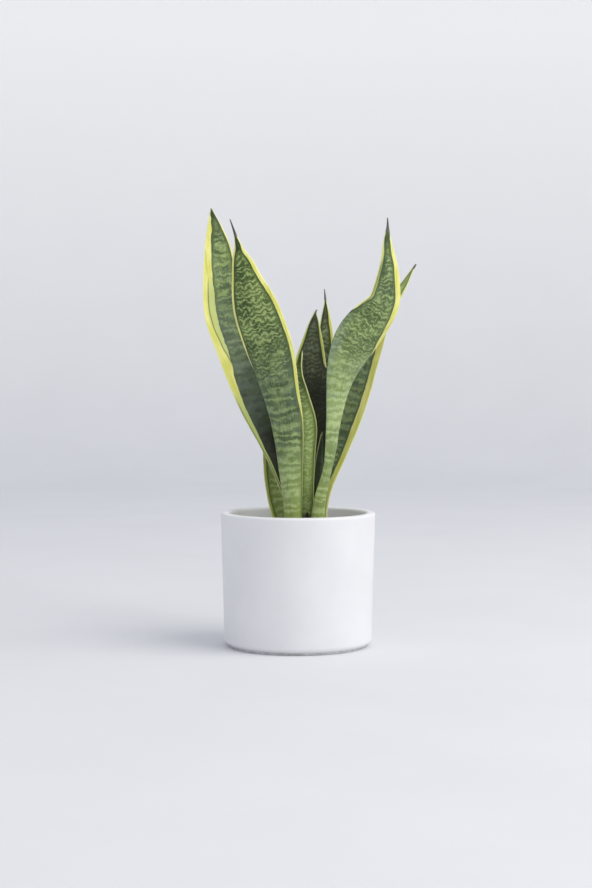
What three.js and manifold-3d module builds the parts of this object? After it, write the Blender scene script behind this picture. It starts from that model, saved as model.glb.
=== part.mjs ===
// Potted snake plant: a closed white ceramic pot, potting soil, a buried rhizome,
// nine variegated leaves that rise from it and one dry sheath at their foot.
// Millimetres, +Z up. The origin is the middle of the pot's flat foot, -Y is the front.

import * as THREE from "three";
import { LoftGeometry } from "three/addons/geometries/LoftGeometry.js";
import { mergeVertices } from "three/addons/utils/BufferGeometryUtils.js";
import Module from "manifold-3d";

const wasm = await Module();
wasm.setup();

// Pot: a tapered round wall on a slightly smaller foot.
const POT_RIM_DIAMETER = 150;
const POT_HEIGHT = 130;
const POT_TAPER = 3.5;
const POT_WALL = 8.5;
const POT_FLOOR = 9;
const POT_RIM_ROUND = 2.5;
const POT_CORNER_ROUND = 5;
const POT_INNER_ROUND = 9;
const FOOT_HEIGHT = 2.2;
const FOOT_INSET = 5;
const POT_SIDES = 56;

// Soil: fills the pot to below the rim and rises a little under the plant.
const SOIL_BELOW_RIM = 18;
const SOIL_MOUND = 6;
const SOIL_CLEARANCE = 0.3;

// Rhizome: the thick underground stem that every leaf grows from.
const RHIZOME_RADIUS = 9;
const RHIZOME_DEPTH = 15;
const RHIZOME_BLUNT_SHARE = 0.14;

// Leaves: thick at the foot, thin at the margins and ending in a round awl.
const LEAF_THICKNESS_FOOT = 5;
const LEAF_THICKNESS_MIDDLE = 3;
const LEAF_THICKNESS_TIP = 1.8;
const LEAF_MIN_ROUNDNESS = 0.9;
const AWL_TIP_DIAMETER = 0.8;
const LEAF_CLEARANCE = 0.3;
const POCKET_CLEARANCE = 0.5;
const POCKET_OVERRUN = 1;
const LEAF_SIDES = 12;
const LEAF_STEPS = 22;

// Dry sheath: a papery scale that stands between two leaf feet.
const SHEATH_HEIGHT = 20;
const SHEATH_WIDTH = 5.6;
const SHEATH_THICKNESS = 1.2;
const SHEATH_PLACE = new THREE.Vector2(8.8, -12.8);

const RIM_RADIUS = POT_RIM_DIAMETER / 2;
const SHOULDER_RADIUS = RIM_RADIUS - POT_TAPER;
const SOIL_LEVEL = POT_HEIGHT - SOIL_BELOW_RIM;
const RHIZOME_TOP = SOIL_LEVEL - RHIZOME_DEPTH;
const LEAF_FOOT = RHIZOME_TOP + LEAF_CLEARANCE;

// Each leaf has its height above the soil and its greatest width. A row of shape holds:
// share of the height, x, y, share of the width, turn in degrees, cup.
// Turn swings the right margin to the back. Cup bends both margins to the back,
// and to the front if it is negative, by that share of the width.
const LEAVES = [
  {
    name: "leaf_front_left",
    height: 298,
    width: 47.5,
    root: [-5, -11],
    shape: [
      [0.05, -5, -13, 0.36, -10, 0.24],
      [0.20, -8, -17, 0.47, -10, 0.24],
      [0.34, -11, -22, 0.67, -12, 0.22],
      [0.44, -17, -26, 0.73, -12, 0.19],
      [0.55, -25, -31, 0.93, -13, 0.14],
      [0.63, -32.5, -35, 1.00, -14, 0.11],
      [0.71, -40.5, -38, 0.98, -14, 0.10],
      [0.79, -47.7, -41, 0.745, -14, 0.10],
      [0.85, -51.8, -42, 0.49, -12, 0.10],
      [0.89, -55.2, -42, 0.275, -10, 0.08],
      [0.925, -57.1, -42, 0.115, -10, 0.03],
      [0.955, -59.5, -41, 0.05, -10, 0],
      [1.00, -64.2, -40, 0.02, -10, 0],
    ],
  },
  {
    name: "leaf_inner_left",
    height: 175,
    width: 27,
    root: [6, -4],
    shape: [
      [0.08, 7.2, -5, 0.54, -12, 0.18],
      [0.23, 6.8, -6, 0.60, -12, 0.18],
      [0.39, 5.8, -8, 0.74, -12, 0.17],
      [0.50, 5.3, -10, 0.89, -12, 0.15],
      [0.61, 3.9, -12, 1.00, -14, 0.13],
      [0.725, 1, -14, 0.80, -16, 0.10],
      [0.835, -1, -15, 0.50, -18, 0.08],
      [0.91, 0.5, -15, 0.26, -18, 0.04],
      [0.96, 2.9, -15, 0.12, -18, 0],
      [1.00, 4.3, -15, 0.035, -18, 0],
    ],
  },
  {
    name: "leaf_back_left",
    height: 315,
    width: 51.5,
    root: [-1, 6],
    shape: [
      [0.04, 1, 6.5, 0.36, 12, -0.18],
      [0.155, -9.8, 10, 0.51, 17, -0.18],
      [0.235, -18.5, 13, 0.65, 20, -0.16],
      [0.32, -29.5, 16, 0.77, 20, -0.14],
      [0.41, -42.2, 20, 0.88, 20, -0.13],
      [0.505, -52.2, 23, 0.96, 20, -0.12],
      [0.64, -67.8, 28, 1.00, 20, -0.11],
      [0.70, -72.8, 30, 0.90, 20, -0.11],
      [0.745, -75.8, 31, 0.79, 20, -0.11],
      [0.81, -78.2, 33, 0.65, 20, -0.10],
      [0.87, -79.2, 35, 0.55, 20, -0.09],
      [0.915, -81.2, 36, 0.41, 20, -0.07],
      [0.955, -83.2, 37, 0.245, 20, -0.04],
      [0.98, -84.6, 38, 0.12, 20, 0],
      [1.00, -85.6, 38, 0.025, 20, 0],
    ],
  },
  {
    name: "leaf_low_left",
    height: 134,
    width: 20,
    root: [-16, 11],
    shape: [
      [0.09, -19.6, 13, 0.74, 30, -0.12],
      [0.21, -23, 17, 0.87, 30, -0.12],
      [0.36, -25.7, 22, 0.98, 30, -0.12],
      [0.505, -26.6, 27, 1.00, 30, -0.12],
      [0.65, -27.7, 32, 0.92, 30, -0.10],
      [0.80, -28.8, 36, 0.68, 30, -0.08],
      [0.905, -29.8, 39, 0.40, 30, -0.04],
      [1.00, -29.8, 41, 0.05, 30, 0],
    ],
  },
  {
    name: "leaf_front_right",
    height: 300,
    width: 51,
    root: [21, -9],
    shape: [
      [0.045, 20, -12, 0.294, 35, 0.20],
      [0.11, 22.7, -14, 0.285, 44, 0.20],
      [0.165, 27.4, -16, 0.277, 53, 0.20],
      [0.215, 30.7, -17, 0.285, 57, 0.20],
      [0.275, 34.3, -18, 0.339, 57, 0.20],
      [0.33, 36.2, -20, 0.384, 53, 0.20],
      [0.405, 39.1, -23, 0.482, 44, 0.18],
      [0.475, 42, -26, 0.598, 36, 0.16],
      [0.53, 46, -28, 0.741, 29, 0.14],
      [0.61, 57.2, -31, 1.00, 24, 0.12],
      [0.675, 71.2, -33, 0.905, 22, 0.11],
      [0.725, 83.6, -34, 0.655, 21, 0.10],
      [0.775, 85, -35, 0.545, 20, 0.10],
      [0.835, 86.8, -36, 0.416, 20, 0.09],
      [0.88, 85.9, -36, 0.282, 20, 0.07],
      [0.92, 84.6, -36, 0.188, 20, 0.04],
      [0.945, 84.5, -36, 0.120, 20, 0],
      [0.967, 85, -36, 0.053, 20, 0],
      [1.00, 84.7, -36, 0.018, 20, 0],
    ],
  },
  {
    name: "leaf_young",
    height: 96,
    width: 9.5,
    root: [18, 0.5],
    shape: [
      [0.19, 19, 0.5, 0.84, 15, 0.10],
      [0.41, 19.4, 0.5, 0.96, 15, 0.10],
      [0.61, 20.4, 0.5, 0.95, 15, 0.08],
      [0.815, 21.8, 0.5, 0.63, 15, 0.04],
      [1.00, 23.3, 0.5, 0.11, 15, 0],
    ],
  },
  {
    name: "leaf_back_right",
    height: 260.5,
    width: 38.5,
    root: [23.5, 8],
    shape: [
      [0.05, 22.8, 8.5, 0.35, -28, -0.12],
      [0.15, 26.2, 11, 0.41, -28, -0.13],
      [0.265, 38.5, 15, 0.55, -30, -0.13],
      [0.375, 48.3, 20, 0.75, -31, -0.13],
      [0.49, 56.2, 25, 0.93, -31, -0.13],
      [0.60, 63.1, 30, 1.00, -31, -0.12],
      [0.71, 72.4, 35, 0.90, -31, -0.12],
      [0.79, 82.2, 38, 0.68, -31, -0.11],
      [0.865, 95.6, 41, 0.37, -31, -0.08],
      [0.915, 104.2, 42, 0.24, -31, -0.04],
      [0.955, 110, 43, 0.13, -31, 0],
      [1.00, 117, 43, 0.035, -31, 0],
    ],
  },
  {
    name: "leaf_centre",
    height: 215.5,
    width: 34.3,
    root: [12, 18],
    shape: [
      [0.08, 14.3, 19, 0.41, -10, -0.12],
      [0.225, 16.6, 22, 0.50, -10, -0.12],
      [0.36, 16.4, 26, 0.62, -10, -0.12],
      [0.475, 14.6, 29, 0.79, -10, -0.12],
      [0.59, 12.7, 31, 0.93, -10, -0.11],
      [0.68, 12.2, 33, 1.00, -10, -0.11],
      [0.77, 13, 35, 0.88, -10, -0.10],
      [0.84, 14.4, 36, 0.67, -10, -0.08],
      [0.905, 15.3, 37, 0.44, -10, -0.05],
      [0.96, 16.7, 38, 0.22, -10, 0],
      [0.982, 17.2, 38, 0.09, -10, 0],
      [1.00, 18.7, 38, 0.03, -10, 0],
    ],
  },
  {
    name: "leaf_centre_back",
    height: 236.5,
    width: 24.5,
    root: [19, 26],
    shape: [
      [0.07, 20.5, 27, 0.50, -10, -0.10],
      [0.245, 23.7, 31, 0.62, -10, -0.11],
      [0.415, 25.7, 37, 0.83, -10, -0.11],
      [0.58, 26.9, 43, 1.00, -10, -0.11],
      [0.725, 26.9, 49, 0.83, -10, -0.09],
      [0.81, 28, 52, 0.62, -10, -0.06],
      [0.87, 28, 55, 0.44, -10, -0.03],
      [0.91, 27.8, 56, 0.27, -10, 0],
      [0.94, 27.7, 57, 0.12, -10, 0],
      [1.00, 26.6, 59, 0.035, -10, 0],
    ],
  },
];

// The rhizome wanders under both groups of leaves, from the left end to the right.
const RHIZOME_PATH = [
  [-26, 13],
  [-15, 9],
  [-5, -3],
  [7, -8],
  [19, -4],
  [24, 8],
  [18, 27],
];

// Runs an arc of the lathe profile from one angle to another, both in degrees.
function arc(profile, r, z, radius, from, to, steps) {
  for (let i = 0; i <= steps; i += 1) {
    const angle = THREE.MathUtils.degToRad(from + ((to - from) * i) / steps);
    profile.push(new THREE.Vector2(r + radius * Math.cos(angle), z + radius * Math.sin(angle)));
  }
}

// Radius of the pot's outer wall at a height.
function outerRadius(z) {
  return SHOULDER_RADIUS + (POT_TAPER * z) / POT_HEIGHT;
}

// Lines the hollow of the pot from the rim's level to the axis, drawn in by a clearance.
function hollow(profile, top, inset) {
  const floor = POT_FLOOR + inset;
  const wall = POT_WALL + inset;
  const round = POT_INNER_ROUND;
  profile.push(new THREE.Vector2(outerRadius(top) - wall, top));
  arc(profile, outerRadius(floor + round) - wall - round, floor + round, round, 0, -90, 5);
  profile.push(new THREE.Vector2(0, floor));
}

function buildPot() {
  const profile = [new THREE.Vector2(0, 0)];
  const footRadius = SHOULDER_RADIUS - FOOT_INSET;
  profile.push(new THREE.Vector2(footRadius, 0));
  profile.push(new THREE.Vector2(footRadius, FOOT_HEIGHT));
  const cornerZ = FOOT_HEIGHT + POT_CORNER_ROUND;
  arc(profile, outerRadius(cornerZ) - POT_CORNER_ROUND, cornerZ, POT_CORNER_ROUND, -90, 0, 5);
  const rimZ = POT_HEIGHT - POT_RIM_ROUND;
  arc(profile, RIM_RADIUS - POT_RIM_ROUND, rimZ, POT_RIM_ROUND, 0, 90, 4);
  const innerZ = RIM_RADIUS - POT_WALL + POT_RIM_ROUND;
  arc(profile, innerZ, rimZ, POT_RIM_ROUND, 90, 180, 4);
  hollow(profile, rimZ - 1, 0);
  return new THREE.LatheGeometry(profile, POT_SIDES).rotateX(Math.PI / 2);
}

// Closes a three.js geometry into a manifold solid.
function toSolid(geometry) {
  const plain = new THREE.BufferGeometry();
  plain.setAttribute("position", geometry.getAttribute("position"));
  plain.setIndex(geometry.getIndex());
  const merged = mergeVertices(plain, 1e-4);
  const mesh = new wasm.Mesh({
    numProp: 3,
    vertProperties: new Float32Array(merged.attributes.position.array),
    triVerts: new Uint32Array(merged.index.array),
  });
  return new wasm.Manifold(mesh);
}

// Turns a manifold solid back into a three.js geometry.
function toGeometry(solid) {
  const mesh = solid.getMesh();
  const geometry = new THREE.BufferGeometry();
  geometry.setAttribute("position", new THREE.BufferAttribute(mesh.vertProperties, 3));
  geometry.setIndex(new THREE.BufferAttribute(mesh.triVerts, 1));
  geometry.computeVertexNormals();
  return geometry;
}

// Lofts a body along a path. measure gives, for a place on it, the direction across, the
// width, the thickness and the cup there. A pocket's body is larger by a clearance on all
// sides and runs past both ends by POCKET_OVERRUN. A level foot is cut off horizontally.
function loft(path, steps, sides, clearance, levelFoot, measure) {
  const sections = [];
  for (let i = 0; i <= steps; i += 1) {
    const t = i / steps;
    const centre = path.getPoint(t);
    const along = path.getTangent(t);
    const { across, width, thickness, cup } = measure(t, centre);
    across.addScaledVector(along, -across.dot(along)).normalize();
    const face = new THREE.Vector3().crossVectors(along, across);
    const ring = [];
    for (let k = 0; k < sides; k += 1) {
      const angle = (2 * Math.PI * k) / sides;
      const u = Math.cos(angle);
      const out = (thickness / 2 + clearance) * Math.sin(angle) + cup * width * u * u;
      const point = centre.clone();
      point.addScaledVector(across, (width / 2 + clearance) * u);
      point.addScaledVector(face, out);
      if (levelFoot && i === 0) {
        point.z = centre.z;
      }
      ring.push(point);
    }
    sections.push(ring);
  }
  if (clearance > 0) {
    const start = path.getTangent(0).multiplyScalar(-POCKET_OVERRUN);
    const end = path.getTangent(1).multiplyScalar(POCKET_OVERRUN);
    sections.unshift(sections[0].map((point) => point.clone().add(start)));
    sections.push(sections[steps + 1].map((point) => point.clone().add(end)));
  }
  return new LoftGeometry(sections, { closed: true, capStart: true, capEnd: true });
}

function smoothPath(points) {
  return new THREE.CatmullRomCurve3(points, false, "centripetal");
}

// Direction across a leaf that is turned by an angle in degrees about the vertical.
function turned(degrees) {
  const angle = THREE.MathUtils.degToRad(degrees);
  return new THREE.Vector3(Math.cos(angle), Math.sin(angle), 0);
}

// Thickness of a leaf at a share of its height, never more than its own width.
function leafThickness(share, width) {
  const foot = THREE.MathUtils.smoothstep(share, 0, 0.35);
  const tip = THREE.MathUtils.smoothstep(share, 0.35, 1);
  const lower = THREE.MathUtils.lerp(LEAF_THICKNESS_FOOT, LEAF_THICKNESS_MIDDLE, foot);
  const full = lower + (LEAF_THICKNESS_TIP - LEAF_THICKNESS_MIDDLE) * tip;
  return Math.min(full, width * LEAF_MIN_ROUNDNESS);
}

function buildLeaf(leaf, clearance) {
  const [rootX, rootY] = leaf.root;
  const [, , , firstWidth, firstTurn, firstCup] = leaf.shape[0];
  const centres = [new THREE.Vector3(rootX, rootY, LEAF_FOOT)];
  const sizes = [new THREE.Vector3(firstWidth, firstTurn, firstCup)];
  for (const [share, x, y, width, turn, cup] of leaf.shape) {
    centres.push(new THREE.Vector3(x, y, SOIL_LEVEL + share * leaf.height));
    sizes.push(new THREE.Vector3(width, turn, cup));
  }
  const sizePath = smoothPath(sizes);
  const measure = (t, centre) => {
    const size = sizePath.getPoint(t);
    const share = (centre.z - SOIL_LEVEL) / leaf.height;
    const width = Math.max(size.x * leaf.width, AWL_TIP_DIAMETER);
    const thickness = leafThickness(share, width);
    return { across: turned(size.y), width, thickness, cup: size.z };
  };
  return loft(smoothPath(centres), LEAF_STEPS, LEAF_SIDES, clearance, true, measure);
}

function buildSheath(clearance) {
  const { x, y } = SHEATH_PLACE;
  const path = smoothPath([
    new THREE.Vector3(x, y + 1.5, LEAF_FOOT),
    new THREE.Vector3(x, y, SOIL_LEVEL + 4),
    new THREE.Vector3(x + 0.4, y - 0.3, SOIL_LEVEL + SHEATH_HEIGHT * 0.6),
    new THREE.Vector3(x + 1, y - 0.2, SOIL_LEVEL + SHEATH_HEIGHT),
  ]);
  const measure = (t) => {
    const width = SHEATH_WIDTH * (1 - 0.85 * t * t);
    const thickness = Math.min(SHEATH_THICKNESS, width);
    return { across: turned(6), width, thickness, cup: 0.12 };
  };
  return loft(path, 8, 10, clearance, true, measure);
}

// The rhizome is round, thickest in the middle and blunt at both ends.
function buildRhizome(clearance) {
  const z = RHIZOME_TOP - RHIZOME_RADIUS;
  const path = smoothPath(RHIZOME_PATH.map(([x, y]) => new THREE.Vector3(x, y, z)));
  const measure = (t) => {
    const fromEnd = Math.min(t, 1 - t) / RHIZOME_BLUNT_SHARE;
    const blunt = fromEnd < 1 ? Math.sqrt(1 - (1 - fromEnd) ** 2) : 1;
    const width = 2 * RHIZOME_RADIUS * Math.max(blunt, 0.35);
    return { across: new THREE.Vector3(0, 0, 1), width, thickness: width, cup: 0 };
  };
  return loft(path, 28, 20, clearance, false, measure);
}

// Fills the pot's hollow and cuts the pockets for all that stands or lies in the soil.
function buildSoil() {
  const profile = [new THREE.Vector2(0, SOIL_LEVEL + SOIL_MOUND)];
  const edge = outerRadius(SOIL_LEVEL) - POT_WALL - SOIL_CLEARANCE;
  for (let i = 1; i <= 5; i += 1) {
    const share = i / 6;
    const rise = SOIL_MOUND * Math.cos((share * Math.PI) / 2) ** 2;
    profile.push(new THREE.Vector2(edge * share, SOIL_LEVEL + rise));
  }
  hollow(profile, SOIL_LEVEL, SOIL_CLEARANCE);
  profile.reverse();
  const outline = profile.map((point) => point.clone());
  const lathe = new THREE.LatheGeometry(outline, POT_SIDES).rotateX(Math.PI / 2);
  let soil = toSolid(lathe);
  soil = soil.subtract(toSolid(buildRhizome(POCKET_CLEARANCE)));
  soil = soil.subtract(toSolid(buildSheath(POCKET_CLEARANCE)));
  for (const leaf of LEAVES) {
    soil = soil.subtract(toSolid(buildLeaf(leaf, POCKET_CLEARANCE)));
  }
  return toGeometry(soil);
}

function material(color, roughness) {
  return new THREE.MeshStandardMaterial({ color, roughness, metalness: 0 });
}

const GLAZE = material("#f1f1f2", 0.55);
const SOIL = material("#2e241c", 0.95);
const RHIZOME = material("#b9803f", 0.75);
const BLADE = material("#4f6f38", 0.45);
const BLADE_SHADED = material("#35492f", 0.5);
const SHEATH = material("#3b2f25", 0.85);

const plant = new THREE.Group();
plant.name = "potted_snake_plant";

function add(name, geometry, finish) {
  const mesh = new THREE.Mesh(geometry, finish);
  mesh.name = name;
  plant.add(mesh);
}

add("pot", buildPot(), GLAZE);
add("soil", buildSoil(), SOIL);
add("rhizome", buildRhizome(0), RHIZOME);
add("dry_sheath", buildSheath(0), SHEATH);
for (const leaf of LEAVES) {
  const shaded = leaf.name.startsWith("leaf_centre") || leaf.name === "leaf_low_left";
  add(leaf.name, buildLeaf(leaf, 0), shaded ? BLADE_SHADED : BLADE);
}

export default plant;
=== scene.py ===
import math
import random

import bmesh
import bpy
from mathutils import Euler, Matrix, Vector, noise


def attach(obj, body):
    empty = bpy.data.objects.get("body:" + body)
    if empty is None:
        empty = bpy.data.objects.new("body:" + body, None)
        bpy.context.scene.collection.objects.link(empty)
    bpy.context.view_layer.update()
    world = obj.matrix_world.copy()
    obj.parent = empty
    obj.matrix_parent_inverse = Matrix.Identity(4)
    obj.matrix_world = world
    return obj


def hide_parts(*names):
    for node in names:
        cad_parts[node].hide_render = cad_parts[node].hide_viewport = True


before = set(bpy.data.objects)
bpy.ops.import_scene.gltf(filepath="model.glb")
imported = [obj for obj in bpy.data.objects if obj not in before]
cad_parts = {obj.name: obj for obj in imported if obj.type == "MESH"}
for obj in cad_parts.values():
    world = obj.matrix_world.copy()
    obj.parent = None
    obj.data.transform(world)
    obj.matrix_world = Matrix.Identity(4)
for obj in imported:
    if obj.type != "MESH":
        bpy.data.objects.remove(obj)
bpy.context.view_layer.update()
MM = 0.001


# ------------------------------------------------------------------------------------------
# Pot. A round, slightly tapered planter of white stoneware, slip-cast and dipped in a matt
# glaze. It stands on a recessed foot that was wiped clean of glaze before firing.
POT_RIM_RADIUS = 75.0
POT_HEIGHT = 130.0
POT_TAPER = 3.5
POT_WALL = 8.5
POT_FLOOR = 9.0
POT_RIM_ROUND = 2.5
POT_CORNER_ROUND = 5.0
POT_INNER_ROUND = 9.0
FOOT_HEIGHT = 2.2
FOOT_INSET = 5.0
FOOT_EDGE = 0.6
POT_STEPS = 192
WALL_HEIGHTS = (20, 40, 60, 80, 100, 115, 124)
INNER_HEIGHTS = (124, 112, 90, 60, 30)
GLAZE_LIP = 0.3
GLAZE_IOR = 1.5
GLAZE_TURNS_IN = (67.4, 66.4)
GLAZE_ENDS = (1.9, 2.3)
DAMP_LINE = (112, 117)


def linear(code):
    """An sRGB hex colour as linear red, green, blue and alpha."""
    parts = [int(code[i : i + 2], 16) / 255 for i in (1, 3, 5)]
    lit = [c / 12.92 if c <= 0.04045 else ((c + 0.055) / 1.055) ** 2.4 for c in parts]
    return (*lit, 1.0)


NODE_MODES = {
    "Math": "operation", "VectorMath": "operation",
    "MapRange": "interpolation_type", "Mix": "data_type",
}


def add_node(tree, kind, links=(), stops=(), **settings):
    """Adds a node of a kind, such as "Math MULTIPLY", with its links, ramp stops and settings.

    The inputs are given in order, or by name or number, as sockets, nodes, whose first live
    output is taken, hex colours or plain values.
    """
    kind, _, mode = kind.partition(" ")
    node = tree.nodes.new("ShaderNode" + kind)
    if mode:
        setattr(node, NODE_MODES[kind], mode)
    for name, value in settings.items():
        setattr(node, name, value)
    for _ in stops[2:]:
        node.color_ramp.elements.new(0.5)
    for number, (place, colour) in enumerate(stops):
        node.color_ramp.elements[number].position = place
        node.color_ramp.elements[number].color = linear(colour)
    for socket, source in links.items() if isinstance(links, dict) else enumerate(links):
        if isinstance(source, bpy.types.Node):
            source = next(out for out in source.outputs if out.enabled)
        if isinstance(source, bpy.types.NodeSocket):
            tree.links.new(source, node.inputs[socket])
        else:
            value = linear(source) if isinstance(source, str) else source
            node.inputs[socket].default_value = value
    return node


def new_material(name):
    """An empty node material and its tree."""
    material = bpy.data.materials.new(name)
    material.use_nodes = True
    material.node_tree.nodes.clear()
    return material, material.node_tree


def place_piece(name, bm, material, replaced=()):
    """Turns a finished bmesh into a smooth-shaded piece that rides on the plant's one body."""
    mesh = bpy.data.meshes.new(name)
    bm.to_mesh(mesh)
    bm.free()
    mesh.materials.append(material)
    mesh.shade_smooth()
    piece = bpy.data.objects.new(name, mesh)
    bpy.context.scene.collection.objects.link(piece)
    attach(piece, "root")
    if replaced:
        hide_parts(*replaced)


def turn_profile(bm, profile, steps):
    """Revolves a profile of (radius, height) in metres round the Z axis."""
    rim = [bm.verts.new((radius, 0, height)) for radius, height in profile]
    edges = [bm.edges.new(pair) for pair in zip(rim, rim[1:])]
    bmesh.ops.spin(
        bm, geom=rim + edges, axis=(0, 0, 1), cent=(0, 0, 0),
        angle=2 * math.pi, steps=steps, use_merge=True,
    )
    bmesh.ops.remove_doubles(bm, verts=bm.verts, dist=1e-6)
    bmesh.ops.recalc_face_normals(bm, faces=bm.faces)


def arc_points(radius, height, bend, start, stop, count):
    """Points on an arc of the profile, in millimetres, from one angle to another in degrees."""
    angles = [math.radians(start + (stop - start) * i / count) for i in range(count + 1)]
    return [(radius + bend * math.cos(a), height + bend * math.sin(a)) for a in angles]


def pot_radius(height):
    """Radius of the pot's outer wall at a height, in millimetres."""
    return POT_RIM_RADIUS - POT_TAPER + POT_TAPER * height / POT_HEIGHT


foot_radius = POT_RIM_RADIUS - POT_TAPER - FOOT_INSET
corner_height = FOOT_HEIGHT + POT_CORNER_ROUND
rim_height = POT_HEIGHT - POT_RIM_ROUND
lip_radius = POT_RIM_RADIUS - POT_WALL + POT_RIM_ROUND
floor_height = POT_FLOOR + POT_INNER_ROUND
profile = [(0, 0)]
profile += arc_points(foot_radius - FOOT_EDGE, FOOT_EDGE, FOOT_EDGE, -90, 0, 3)
profile += [(foot_radius, FOOT_HEIGHT - GLAZE_LIP), (foot_radius + GLAZE_LIP, FOOT_HEIGHT)]
profile += arc_points(
    pot_radius(corner_height) - POT_CORNER_ROUND, corner_height, POT_CORNER_ROUND, -90, 0, 10
)
profile += [(pot_radius(z), z) for z in WALL_HEIGHTS]
profile += arc_points(POT_RIM_RADIUS - POT_RIM_ROUND, rim_height, POT_RIM_ROUND, 0, 90, 8)
profile += arc_points(lip_radius, rim_height, POT_RIM_ROUND, 90, 180, 8)
profile += [(pot_radius(z) - POT_WALL, z) for z in INNER_HEIGHTS]
profile += arc_points(
    pot_radius(floor_height) - POT_WALL - POT_INNER_ROUND,
    floor_height, POT_INNER_ROUND, 0, -90, 6,
)
profile += [(0, POT_FLOOR)]

bm = bmesh.new()
turn_profile(bm, [(r * MM, z * MM) for r, z in profile], POT_STEPS)

# Matt-glazed stoneware: a chalky white with a very soft sheen, slightly uneven in tone, with
# the faint orange-peel and pinholes of a dipped glaze. The foot shows the bare buff clay.
glaze, tree = new_material("matt_glazed_stoneware")
coords = add_node(tree, "TexCoord").outputs["Object"]
place = add_node(tree, "SeparateXYZ", [coords])
cloud = add_node(tree, "TexNoise", {"Vector": coords, "Scale": 1 / (45 * MM), "Detail": 3.0})
tone = add_node(tree, "ValToRGB", [cloud], stops=[(0.3, "#E3E3E6"), (0.7, "#E9E9EC")])
speck = add_node(tree, "TexVoronoi", {"Vector": coords, "Scale": 1 / (7 * MM)})
speck_size = add_node(tree, "MapRange", [speck.outputs["Distance"], 0.05, 0.075, 1.0, 0.0])
speckled = add_node(tree, "Mix RGBA", {0: speck_size, 6: tone, 7: "#D9D8D6"})
foot_mask = add_node(
    tree, "MapRange", [place.outputs[2], *[z * MM for z in GLAZE_ENDS], 1.0, 0.0]
)
clay_noise = add_node(
    tree, "TexNoise", {"Vector": coords, "Scale": 1 / (1.2 * MM), "Detail": 4.0}
)
clay = add_node(tree, "ValToRGB", [clay_noise], stops=[(0.35, "#BDB9B2"), (0.65, "#D2CEC8")])
body = add_node(tree, "Mix RGBA", {0: foot_mask, 6: speckled, 7: clay})
radius = add_node(
    tree, "VectorMath LENGTH", [add_node(tree, "CombineXYZ", [place, place.outputs[1]])]
)
# Painted light: the inner wall is painted whiter than the outside glaze, to lift it against the
# shade inside the pot.
inside = add_node(tree, "MapRange", [radius, *[r * MM for r in GLAZE_TURNS_IN]])
painted_light_inner_wall = add_node(tree, "Mix RGBA", {0: inside, 6: body, 7: "#F6F8FB"})
splash = add_node(
    tree, "TexNoise", {"Vector": coords, "Scale": 1 / (9 * MM), "Detail": 6.0, "Roughness": 0.7}
)
damp_line = add_node(tree, "MapRange", [place.outputs[2], *[z * MM for z in DAMP_LINE], 0.6, 0.1])
damp = add_node(tree, "Math SUBTRACT", [damp_line, splash])
damp_soft = add_node(tree, "MapRange", [damp, -0.12, 0.22, 0.0, 0.45])
dirty = add_node(tree, "Math MULTIPLY", [damp_soft, inside])
colour = add_node(tree, "Mix RGBA", {0: dirty, 6: painted_light_inner_wall, 7: "#7A6A58"})
peel = add_node(tree, "TexNoise", {"Vector": coords, "Scale": 1 / (0.9 * MM), "Detail": 3.0})
swell = add_node(tree, "TexNoise", {"Vector": coords, "Scale": 1 / (16 * MM), "Detail": 1.0})
relief = add_node(tree, "Math MULTIPLY_ADD", [swell, 4.0, peel])
pit = add_node(tree, "Math MULTIPLY_ADD", [speck_size, -0.6, relief])
bump = add_node(tree, "Bump", {"Height": pit, "Distance": 0.05 * MM, "Strength": 0.6})
rough = add_node(tree, "MapRange", [cloud, 0.3, 0.7, 0.5, 0.6])
rougher = add_node(tree, "Math MULTIPLY_ADD", [foot_mask, 0.3, rough])
shader = add_node(tree, "BsdfPrincipled", {
    "Base Color": colour, "Roughness": rougher, "Normal": bump, "IOR": GLAZE_IOR
})
add_node(tree, "OutputMaterial", [shader])
place_piece("pot_stoneware", bm, glaze, ["pot"])


# ------------------------------------------------------------------------------------------
# Soil. Moist peat and coir potting mix, filled to 18 mm below the rim and heaped a little
# under the plant, with crumbs, bark chips and white perlite lying loose on it.
SOIL_LEVEL = 112.0
SOIL_MOUND = 6.0
SOIL_GAP = 0.3
SOIL_RINGS = 46
SOIL_STEPS = 200
SOIL_WALL_HEIGHTS = (30, 60, 90, 108)
CLOD_WIDTH = 9
CRUMB_WIDTH = 2.6
soil_edge = pot_radius(SOIL_LEVEL) - POT_WALL - SOIL_GAP


def soil_height(x, y):
    """Height of the heaped soil before its crumbs, at a place in millimetres."""
    share = min(math.hypot(x, y) / soil_edge, 1.0)
    return SOIL_LEVEL + SOIL_MOUND * math.cos(share * math.pi / 2) ** 2


def soil_relief(x, y):
    """Rise of the crumbly surface over the heap, in millimetres."""
    coarse = noise.fractal(Vector((x / CLOD_WIDTH, y / CLOD_WIDTH, 4.0)), 0.8, 2.0, 3)
    fine = noise.fractal(Vector((x / CRUMB_WIDTH, y / CRUMB_WIDTH, 9.0)), 0.8, 2.0, 3)
    return 1.1 * coarse + 0.9 * fine - 1.4


profile = [(0, POT_FLOOR + SOIL_GAP)]
profile += arc_points(
    pot_radius(floor_height) - POT_WALL - POT_INNER_ROUND - SOIL_GAP,
    floor_height, POT_INNER_ROUND, -90, 0, 6,
)
profile += [(pot_radius(z) - POT_WALL - SOIL_GAP, z) for z in SOIL_WALL_HEIGHTS]
profile += [
    (soil_edge * (1 - i / SOIL_RINGS), soil_height(soil_edge * (1 - i / SOIL_RINGS), 0))
    for i in range(SOIL_RINGS + 1)
]
bm = bmesh.new()
turn_profile(bm, [(r * MM, z * MM) for r, z in profile], SOIL_STEPS)
for vert in bm.verts:
    x, y, z = vert.co / MM
    if z > SOIL_LEVEL - 1:
        vert.co.z += soil_relief(x, y) * MM

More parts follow.
